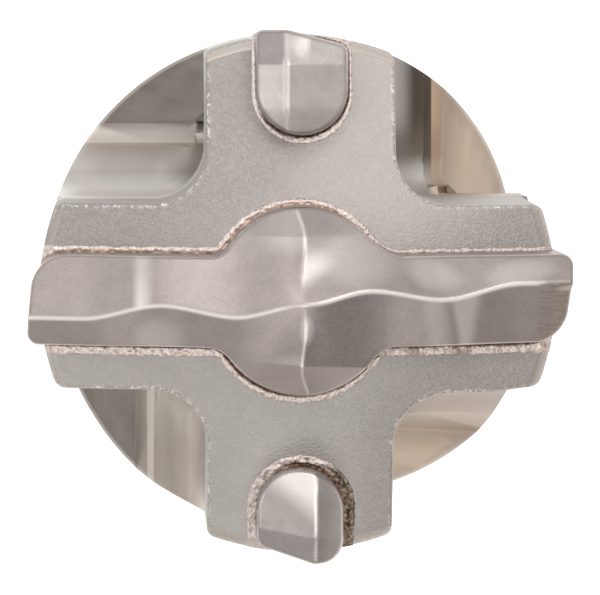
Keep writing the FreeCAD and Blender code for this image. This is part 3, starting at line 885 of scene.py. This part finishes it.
# %% [markdown]
# The steel has three finishes on one piece. The head is fine blasted: matte and light grey, with a grain of
# about a tenth of a millimetre. The flutes are ground and tinted tan by heat. The shank is turned. One
# material holds them all, and masks say where each one lies. `sunk` is the depth below the tip.

# %% Steel: where a point lies
steel, shader, place = new_material("blasted_steel", Metallic=1.0)
x, y, z = parts_of(place)
facing = facing_up(place)
rim = read(place, "rim")
radius = (x * x + y * y) ** 0.5
sunk = APEX - z
head = sunk.fade(18.5, 20.5)
top = head * facing.ramp(0.80, 0.93) * sunk.fade(14, 16)
grain = noise(place, 8.0, detail=5, roughness=0.65)
pits = noise(place, 3.2, detail=3)
patch = noise(place, 0.35, detail=3)
print("steel masks: head, face, grain, pits and patches")

# %% [markdown]
# The turned shank shows fine rings round its axis, which noise gives when it is stretched along them. The
# ground flutes are darker. Their side towards the lower right is tinted tan, a painted warm reflection, and
# the lands between the flutes are worn bright at their edges.

# %% Steel: flutes and shank
flutes = layered(
    blend(patch.ramp(0.3, 0.7), (0.225, 0.20, 0.18), (0.285, 0.255, 0.225)),
    # a painted warm reflection: the flutes turn tan towards the lower right
    ((x * 0.9 - y * 0.2).ramp(-2, 5), (0.60, 0.49, 0.395)),
    (radius.ramp(SPIRAL_R - 0.22, SPIRAL_R - 0.10) * facing.ramp(0.05, 0.3) * 0.6, (0.80, 0.75, 0.70)),
    (radius.ramp(SPIRAL_R - 0.15, SPIRAL_R - 0.05) * facing.fade(0.05, 0.3), (0.52, 0.475, 0.43)),
)
rings = noise(place, 1.0, detail=3, stretch=(0.4, 0.4, 9))
turned_steel = layered(
    blend(rings.ramp(0.3, 0.7), (0.50, 0.485, 0.47), (0.60, 0.585, 0.565)),
    (radius.fade(SPIRAL_R - 0.40, SPIRAL_R - 0.10) * z.ramp(128, 134), (0.36, 0.345, 0.33)),
    (patch.ramp(0.35, 0.7) * 0.35, (0.40, 0.37, 0.345)),
)
flutes = blend(sunk.fade(22, 34), turned_steel, flutes)
print("steel below the head:", len(steel.node_tree.nodes), "nodes")

# %% [markdown]
# In each gap between two arms the head's foot shows as a coved shelf. Beyond the shelf's edge a bevel goes
# down, and then the ramp of a flute. The colours of the gaps are mostly painted light: painted shade and
# shadow in the coves, painted highlights on the bevels and painted warm reflections at the right. `reach` is
# the distance from the axis across the shelf. It is measured along x in two of the gaps and along y in the
# other two, because each shelf is turned by a quarter.

# %% Steel: the four gaps
SHELF_EDGE, BEVEL_END = 7.0, 7.95
to_right, to_left = x.ramp(-1, 1), x.fade(-1, 1)
crossed = (x * y).ramp(-1, 1)
reach = abs(x) * crossed + abs(y) * (1 - crossed)
far_up, far_down = y.ramp(6.6, 8.8), (-y).ramp(6.0, 8.8)
streaks = noise(place, 0.9, detail=3, stretch=(3, 0.4, 1))
# painted shade: the flutes just past the bevels on the right are darkened brown
flutes = blend(reach.fade(8.0, 9.6) * sunk.fade(21, 26) * to_right * 0.65, flutes, (0.34, 0.27, 0.215))

# painted light in the upper left gap: lighter near the arm and at the far left, a brown painted shade before
# the shelf's edge, and a painted highlight on the bevel
upper_left_painted_light = layered(
    blend(reach.ramp(4.95, 5.6), (0.68, 0.67, 0.655), (0.40, 0.375, 0.355)),
    (reach.ramp(6.1, SHELF_EDGE), (0.345, 0.31, 0.27)),
    (reach.fade(4.75, 5.15), (0.90, 0.885, 0.865)),
    ((-x).ramp(9.2, 11) * 0.2, (0.84, 0.80, 0.76)),
    (reach.ramp(SHELF_EDGE - 0.03, SHELF_EDGE + 0.05),
     blend(reach.ramp(7.1, 7.7), (0.57, 0.53, 0.49), (0.80, 0.76, 0.72))),
)
# painted light in the lower left gap: darker farther down, lighter near the arm, a painted highlight on the
# bevel's edge and painted shade past it; the streaks are the steel's own tone
lower_left_painted_light = layered(
    blend(far_down, (0.58, 0.54, 0.50), (0.43, 0.39, 0.35)),
    (reach.fade(4.7, 5.5), (0.74, 0.70, 0.66)),
    (streaks.ramp(0.38, 0.66) * 0.25, (0.36, 0.32, 0.28)),
    (reach.within(SHELF_EDGE, SHELF_EDGE + 0.34, 0.04), (0.68, 0.63, 0.575)),
    (reach.ramp(SHELF_EDGE + 0.32, SHELF_EDGE + 0.42), (0.40, 0.365, 0.33)),
)
# painted light in the lower right gap: the shelf lighter at its edge and a painted warm reflection in tan
# beyond it
lower_right_painted_light = layered(
    blend(reach.ramp(SHELF_EDGE - 0.15, SHELF_EDGE - 0.05), (0.60, 0.545, 0.495), (0.67, 0.605, 0.545)),
    (reach.ramp(7.62, 7.70), (0.64, 0.54, 0.45)),
)
# painted light in the upper right gap: pale beside the arm, painted shade and a near black painted shadow on
# the shelf, and a painted warm reflection in tan on the bevel
shelf_painted_shade = blend(far_up, (0.26, 0.235, 0.21), (0.60, 0.57, 0.54))
shelf_painted_shadow = blend(far_up, (0.085, 0.072, 0.06), (0.024, 0.02, 0.017))
bevel_painted_reflection = blend(far_up, (0.58, 0.44, 0.33), (0.75, 0.58, 0.43))
upper_right_painted_light = blend(
    reach.ramp(SHELF_EDGE + 0.24, SHELF_EDGE + 0.32),
    blend(y.ramp(5.0, 6.5), (0.70, 0.68, 0.665), blend(reach.ramp(5.3, 6.5), shelf_painted_shade, shelf_painted_shadow)),
    blend(y.ramp(5.6, 6.6), (0.76, 0.64, 0.53), bevel_painted_reflection),
)
gap_painted_light = layered(
    upper_left_painted_light,
    (crossed * to_left, lower_left_painted_light),
    ((1 - crossed) * to_right, lower_right_painted_light),
    (crossed * to_right, upper_right_painted_light),
    (reach.ramp(BEVEL_END, BEVEL_END + 0.05), flutes),
)
print("steel in the gaps:", len(steel.node_tree.nodes), "nodes")

# %% [markdown]
# The walls of the arms rise from the shelves. They are blasted like the face, and the two that look at the
# upper left gap carry a painted reflection of a darker part of the room, darker the higher they are.

# %% Steel: walls of the arms
walls = (sunk.fade(17, 18.5) * facing.fade(0.02, 0.15)).larger(sunk.fade(15, 16.5))
wall_tint = layered(
    blend(grain.ramp(0.4, 0.7), (0.50, 0.48, 0.46), (0.58, 0.555, 0.53)),
    # a painted reflection: these walls darken the higher they are
    ((1 - crossed) * to_left, blend(sunk.fade(11, 14), (0.78, 0.755, 0.73), (0.42, 0.405, 0.39))),
)
below_face = blend(head, flutes, blend(walls, gap_painted_light, wall_tint))
print("steel below the face:", len(steel.node_tree.nodes), "nodes")

# %% [markdown]
# The blasted face is nearly one grey, with painted shade towards two corners and a painted sheen at the
# upper right and on the lower arm. Bright specks along its edges are painted glints, burrs shade some of
# them at the lower right, and a painted highlight makes the turned chamfer shine at the upper rim.

# %% Steel: the blasted face
SHEEN = (0.62, 0.58, 0.56)
# painted shade towards the lower right and the upper left corners
lower_right_painted_shade = (x - y * 0.5).ramp(3.5, 9) * 0.9
upper_left_painted_shade = (y - x * 0.4).ramp(3.2, 7) * x.fade(-2, 1) * 0.95
face_tint = layered(
    blend(y.ramp(-9, 9), (0.445, 0.435, 0.415), (0.46, 0.42, 0.40)),
    # a painted sheen at the upper right
    (x.ramp(0, 5) * y.ramp(1.5, 6) * 0.35, SHEEN),
    (lower_right_painted_shade + upper_left_painted_shade, (0.355, 0.335, 0.32)),
    # a painted sheen on the lower arm
    ((-y).ramp(5, 9) * abs(x).fade(2, 4) * 0.3, SHEEN),
    ((grain + pits * 0.3).ramp(0.48, 0.90) * 0.45, SHEEN),
)
upper_edges = sunk.fade(9, 10) * facing.ramp(0.4, 0.7)
chamfer_edge = radius.ramp(HEAD_R - CHAMFER - 0.02, HEAD_R - CHAMFER + 0.02)
chamfer = sunk.fade(8, 9) * facing.ramp(0.3, 0.5) * chamfer_edge
# painted glints: bright specks along the upper edges
painted_edge_glints = upper_edges * rim.fade(0.06, 0.26) * (grain + pits * 0.6).ramp(0.80, 0.88)
burrs = upper_edges * rim.fade(0.05, 0.16) * pits.ramp(0.54, 0.60) * (x - y).ramp(6, 9)
tint = layered(
    blend(top, below_face, face_tint),
    # a painted highlight on the turned chamfer, strongest at the upper rim
    (chamfer * (0.16 + 0.7 * y.ramp(8, 10)), (0.74, 0.69, 0.64)),
    (painted_edge_glints * patch.ramp(0.38, 0.60), (0.97, 0.93, 0.89)),
    (burrs * 0.6, (0.22, 0.16, 0.13)),
    (patch.ramp(0.35, 0.75) * 0.10, (0.30, 0.26, 0.24)),
)
dress(
    (crown, lower_steel), steel, shader,
    Base_Color=tint,
    Roughness=0.46 - top * 0.06 + grain * 0.06,
    Normal=bumped(grain * (0.12 + top * 0.88), 0.045),
)

# %% [markdown]
# Sintered carbide is darker than steel and slightly mauve. It is ground, so it has a satin gloss with very
# fine grain. The light that its crests and flanks catch is painted into its colour as highlights and shade.
# The masks follow the shape through the same functions that made it: `wave` and `cross_bend` work on flows
# as they do on arrays.

# %% Carbide: where a point lies
carbide, shader, place = new_material("satin_carbide", Metallic=1.0)
x, y, _ = parts_of(place)
ground = facing_up(place).ramp(0.1, 0.5)
rim = read(place, "rim")
on_pin = (y * y).ramp(40, 42)
on_plate = 1 - on_pin
grain = noise(place, 11.0, detail=4, roughness=0.65)
cloud = noise(place, 1.3, detail=4, roughness=0.6)
low_flank = (wave(x) - y).ramp(-0.05, 0.10)
high_flank = 1 - low_flank
right_side = (x - cross_bend(y)).ramp(-0.02, 0.10)
left_side = 1 - right_side
broken_up = y.ramp(BROKEN_UP - 0.03, BROKEN_UP + 0.04)
broken_down = (-y - x * BROKEN_LEAN).ramp(BROKEN_DOWN - 0.03, BROKEN_DOWN + 0.04)
print("carbide masks: flanks, sides and broken edges")

# %% [markdown]
# Ground carbide mirrors soft windows, and their reflections are painted into the colour as highlights. In
# the photograph they are a narrow strip on the upper flank at the left, two strips on the lower flank at the
# right, a fan beside the tip, and soft spots between. Each one is a mask, and their sum says how far the
# tint goes to near white. The lower right of the boss gets painted shade.

# %% Carbide: painted gloss of the plate
def spot(x, y, at, size, strength, lean=0.0):
    """A soft spot at a place, with its half width and half height in mm."""
    off_y = (y - at[1]) / size[1]
    off_x = (x - at[0] - (y - at[1]) * lean) / size[0]
    return (1 - off_x * off_x - off_y * off_y).ramp(0, 1) * strength


# painted highlights: reflections of soft windows as strips, a fan beside the tip and soft spots
fan = (y - x * 0.5).ramp(0.5, 1.4) * (y + x * 0.10).fade(1.7, 2.9) * x.fade(0.1, 2.2)
high_shine = (
    x.ramp(-7.95, -7.5) * x.fade(-7.5, -6.75) * (1 - y.ramp(0, 2) * 0.45)
    + spot(x, y, (6.0, 1.35), (1.5, 1.0), 0.5, lean=-0.6)
    + spot(x, y, (10.2, 1.3), (2.0, 0.8), 0.5, lean=0.8)
    + (fan + spot(x, y, (2.6, 2.0), (2.6, 1.5), 0.35)) * right_side
)
low_shine = (
    spot(x, y, (-6.6, -1.7), (1.4, 1.3), 0.45)
    + (x + y * 0.15).within(5.6, 6.6, 0.4) * 0.42
    + (x + y * 0.22).ramp(6.7, 7.15) * (x - y * 0.12).fade(7.8, 8.5) * 0.8
)
boss_shine = (
    left_side * (1 - broken_up) * y.ramp(2.0, 3.0) * x.ramp(-3.2, -0.2) * 0.55
    + left_side * (1 - broken_down) * (-y).ramp(2.2, 2.75) * x.ramp(-2.4, -0.2) * 0.35
    + spot(x, y, (0.12, -1.15), (0.42, 0.85), 0.6)
    + broken_up * (right_side * 0.22 + left_side * x.ramp(-3, 0) * 0.25)
    + broken_down * (0.10 + x.ramp(0, 2) * 0.2)
)
shine = high_shine * high_flank + low_shine * low_flank + boss_shine
# painted shade on the lower right of the boss
boss_painted_shade = right_side * low_flank * (1 - broken_down) * x.fade(3.0, 4.8)
tint = layered(
    blend(cloud.ramp(0.25, 0.75), (0.38, 0.34, 0.33), (0.41, 0.365, 0.355)),
    (boss_painted_shade * 0.55, (0.24, 0.22, 0.215)),
    (shine * (0.55 + grain * 0.5) * on_plate * ground, (0.88, 0.84, 0.81)),
)
print("gloss of the plate:", len(carbide.node_tree.nodes), "nodes")

# %% [markdown]
# The pins are paler. The lower one is turned by half a turn, so the light falls on it from its other side,
# and that light is painted: the pin a little darker, one flank with a painted highlight and one with painted
# shade. Painted shade also darkens the end facets. The masks take its turn back first, and then both pins
# share them.

# %% Carbide: painted light on the pins
upward = y.ramp(-0.01, 0.01) * 2 - 1
pin_x, pin_y = x * upward, abs(y)
aside = pin_aside(pin_x, pin_y)
low_pin = (1 - upward) * 0.5
steep = aside.fade(-0.05, 0.05)
gentle = 1 - steep
(upper_level, _), (lower_level, lower_tilt) = (shape["broken"] for shape in PIN_SHAPES.values())
end_break = pin_y - upper_level - low_pin * (lower_level - upper_level - (pin_x + BREAK_AT) * lower_tilt)
end_facet_shade = end_break.ramp(0.0, 0.07) * (steep + low_pin * (gentle - steep))
# painted light: the lower pin darker, painted shade on the end facets, and on the lower pin a painted
# highlight on the gentle flank, painted shade by the ridge on the steep flank and a painted highlight at its
# rim
pin_tint = layered(
    blend(cloud.ramp(0.3, 0.7), (0.50, 0.465, 0.45), (0.58, 0.55, 0.53)),
    (low_pin * 0.3, (0.30, 0.28, 0.27)),
    (end_facet_shade * 0.75, (0.36, 0.33, 0.325)),
    (low_pin * gentle * (pin_y + aside * 0.8).fade(9.3, 11.0) * 0.95, (0.98, 0.95, 0.93)),
    (low_pin * steep * (-aside).fade(0.1, 0.9) * 0.6, (0.33, 0.31, 0.305)),
    (low_pin * steep * (-aside).ramp(0.7, 1.4) * 0.5, (0.72, 0.69, 0.66)),
)
tint = blend(on_pin * ground, tint, pin_tint)
print("gloss of the pins:", len(carbide.node_tree.nodes), "nodes")

# %% [markdown]
# Every ridge has a narrow land, and a painted highlight makes it almost white. It follows the crest, the
# cross ridge and the ridges of the pins. A softer painted highlight runs along the rims. At the right end of
# the plate the tint is browner and streaked with fine scratches.

# %% Carbide: painted highlights on the ridges
# masks of the painted highlight on the crest, the cross ridge and the pins' ridges
crest = abs(y - wave(x)).fade(0.0, 0.17) * (0.45 + abs(x).ramp(0.3, 1.2) * 0.55) * x.fade(11.0, 11.6)
cross = abs(x - cross_bend(y)).fade(0.01, 0.11) * abs(y).within(0.9, 4.25, 0.2)
cross = cross * (0.85 - y.within(1.4, 2.5, 0.2) * 0.6 - y.within(-2.6, -1.6, 0.2) * 0.4)
double = abs(abs(aside) - 0.12).fade(0.0, 0.09)
single = abs(aside).fade(0.0, 0.12)
ridge = (double + low_pin * (single - double)) * pin_y.within(8.7, 11.1, 0.3)
ridge_highlight = ((crest * 0.80 + cross * 0.45) * on_plate + ridge * on_pin * 0.6) * ground
right_end = x.ramp(10.9, 11.3) * (y - wave(x)).fade(-0.05, 0.05)
scratches = noise(place, 1.0, detail=3, stretch=(1.2, 14, 1))
tint = layered(
    tint,
    ((grain + cloud * 0.3).ramp(0.5, 0.85) * 0.25, SHEEN),
    (ridge_highlight, (0.97, 0.92, 0.88)),
    # a painted highlight along the rims
    (rim.fade(0.02, 0.10) * ground * 0.35, (0.80, 0.74, 0.70)),
    (right_end * 0.7, blend(scratches.ramp(0.38, 0.64), (0.33, 0.29, 0.26), (0.46, 0.405, 0.36))),
)
dress(
    (plate, *PINS.values()), carbide, shader,
    Base_Color=tint,
    Roughness=0.30 + grain * 0.10,
    Normal=bumped(grain, 0.010),
)

# %% [markdown]
# Braze is a copper alloy that froze as a rough bead. Flux and blasting left its grains cream and pink. Only
# the narrow gap beside the carbide kept its brown. The numbers that the mesh keeps say where that gap is.

# %% Braze: where a point lies
braze, shader, place = new_material("copper_braze", Metallic=1.0)
x, y, _ = parts_of(place)
away = read(place, "away")
stands = read(place, "stands")
grain = noise(place, 6.0, detail=4, roughness=0.6, stretch=(1.25, 0.85, 1))
blotch = noise(place, 1.3, detail=3)
upper_pin = y.ramp(7.1, 7.2)
lower_pin = (-y).ramp(6.5, 7.0)
upper_side = y.ramp(0, 0.5) * (1 - upper_pin)
lower_side = (-y).ramp(0, 0.5) * (1 - lower_pin)
print("braze masks: two pins and two sides of the plate")

# %% [markdown]
# The bead is cream, stained on the lower side of the plate, calm and pale on its upper side and at the upper
# pin, and rough and dark at the right of the lower pin. The copper brown of the gap comes last.

# %% Braze: grains and gap
calm = blend(grain.ramp(0.35, 0.6), (0.70, 0.64, 0.60), (0.90, 0.85, 0.81))
calm_at_pin = upper_pin * (0.35 + (-x).ramp(0.6, 1.4) * 0.45)
calm_at_plate = upper_side * (0.45 + x.ramp(0.5, 4) * 0.5)
grey = upper_side * x.ramp(2, 4) * 0.7 + lower_pin * (-x).ramp(0.8, 1.6) * 0.6
rough = blend(grain.ramp(0.38, 0.66), (0.105, 0.075, 0.05), (0.46, 0.385, 0.31))
grains = layered(
    blend(grain.ramp(0.34, 0.60), (0.62, 0.52, 0.475), (1.0, 0.93, 0.88)),
    (stands.fade(-0.02, 0.08) * 0.3, (0.45, 0.34, 0.28)),
    (blotch.ramp(0.50, 0.66) * x.ramp(-2, 6) * lower_side * 0.65, (0.34, 0.26, 0.215)),
    (calm_at_pin + calm_at_plate, calm),
    (grey, (0.60, 0.555, 0.525)),
    (lower_pin * x.ramp(1.3, 1.9) * 0.92, rough),
)
copper = layered(
    blend(grain.ramp(0.40, 0.65), (0.22, 0.14, 0.105), (0.46, 0.33, 0.265)),
    (upper_side * 0.85, (0.88, 0.66, 0.55)),
)
closed = upper_pin * x.fade(-1.9, -1.5) + lower_pin * x.fade(-0.9, -0.2) + upper_side * x.ramp(1, 4) * 0.7
width = 0.10 + lower_side * 0.17 + lower_pin * 0.08
gap = ((away + grain * 0.12 - 0.06) / width).fade(0.7, 1.3) * (1 - closed)
dress(
    BEADS, braze, shader,
    Base_Color=blend(gap, grains, copper),
    Roughness=0.34 + grain * 0.2,
    Normal=bumped(grain, 0.06),
)

# %% [markdown]
# The floor is a plain pale sheet under the shank. To the camera and to mirrors it glows softly, so it reads
# as white paper, and it still takes the bit's shadow.

# %% Floor
sheet = bmesh.new()
bmesh.ops.create_grid(sheet, x_segments=1, y_segments=1, size=0.7)
floor_mesh = bpy.data.meshes.new("floor")
sheet.to_mesh(floor_mesh)
sheet.free()
floor = bpy.data.objects.new("floor", floor_mesh)
bpy.context.collection.objects.link(floor)

paper, shader, place = new_material(
    "paper", Base_Color=(0.8, 0.8, 0.8, 1), Roughness=0.9, Emission_Color=(1, 1, 1, 1))
by_camera, by_mirror = (
    first_flow(place.tree, "ShaderNodeLightPath", ray) for ray in ("Is Camera Ray", "Is Glossy Ray"))
dress([floor], paper, shader, Emission_Strength=by_camera.larger(by_mirror * 0.5) * 0.75)
print("the floor is %.1f m wide" % floor.dimensions.x)

# %% [markdown]
# The light is a plain studio: one broad soft light above, four more round the bit, and a dim surround that
# is darker behind and to the left, which is what the polished ramps show.

# %% Lamps
LAMP_DISTANCE = 0.9
LAMP_COLOUR = (1, 0.985, 0.97)


def lamp_at(name, azimuth, elevation, size, power):
    """A square area light that faces the head, in degrees from +X and from the horizon."""
    turn, rise = math.radians(azimuth), math.radians(elevation)
    way = Vector((math.cos(turn) * math.cos(rise), math.sin(turn) * math.cos(rise), math.sin(rise)))
    lamp = bpy.data.lights.new(name, "AREA")
    lamp.size = size
    lamp.energy = power
    lamp.color = LAMP_COLOUR
    made = bpy.data.objects.new(name, lamp)
    made.location = FOCUS + way * LAMP_DISTANCE
    made.rotation_euler = (-way).to_track_quat("-Z", "Y").to_euler()
    bpy.context.collection.objects.link(made)


lamp_at("overhead", -90, 86, 0.20, 0.40)
lamp_at("upper_right", 50, 56, 0.36, 1.0)
lamp_at("back_strip", 105, 36, 0.30, 0.55)
lamp_at("front_strip", -85, 32, 0.36, 0.65)
lamp_at("left_strip", 180, 16, 0.30, 0.35)
print("lamps:", len(bpy.data.lights))

# %% [markdown]
# Metal shows what stands round it, so the surround does half of the work: a soft gradient over the room, and
# below the horizon a warmer one for what the walls of the flutes see. The camera itself sees plain white.

# %% Surround
world = bpy.data.worlds.new("studio")
bpy.context.scene.world = world
world.use_nodes = True
tree = world.node_tree
sky = tree.nodes["Background"]
across, along, height = parts_of(first_flow(tree, "ShaderNodeTexCoord", "Generated"))
lit = (along * 0.5 - across * (1.1 - height) * 0.55 + height * 0.58).ramp(-0.8, 0.95)
warm = (across * 0.8 - along * 0.6).ramp(-0.5, 0.9)
surround = blend(
    height.ramp(-0.14, -0.02),
    blend(warm, (0.42, 0.38, 0.345), (1.03, 0.92, 0.82)),
    blend(lit, (0.42, 0.39, 0.37), (0.98, 0.95, 0.93)),
)
surround = blend(first_flow(tree, "ShaderNodeLightPath", "Is Camera Ray"), surround, (1, 1, 1))
tree.links.new(surround.socket, sky.inputs["Color"])
sky.inputs["Strength"].default_value = 1.0
bpy.context.scene.view_settings.view_transform = "Standard"
print("surround:", len(tree.nodes), "nodes")
